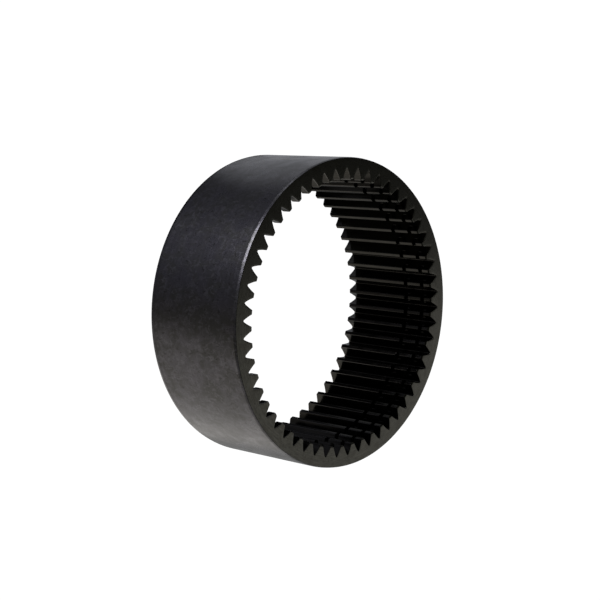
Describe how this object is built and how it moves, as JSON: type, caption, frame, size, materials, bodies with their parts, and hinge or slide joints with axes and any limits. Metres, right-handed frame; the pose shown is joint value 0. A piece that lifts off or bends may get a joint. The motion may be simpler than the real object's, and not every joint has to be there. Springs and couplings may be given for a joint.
{
  "type": "internal ring gear",
  "caption": "Internal ring gear: a broad plain steel ring with straight involute teeth inside and two retaining-ring grooves turned across the teeth near one end.",
  "frame": {"origin": "centre of the flat rear end, on the gear axis", "axes": "+Z along the gear axis, from the rear end to the grooved front end; +X through the middle of a tooth space"},
  "size_m": [0.214, 0.214, 0.0815],
  "materials": {
    "steel": "dark blackened steel, satin, with a faint turned grain"
  },
  "bodies": {
    "root": {"ring_gear": "steel"}
  },
  "joints": []
}
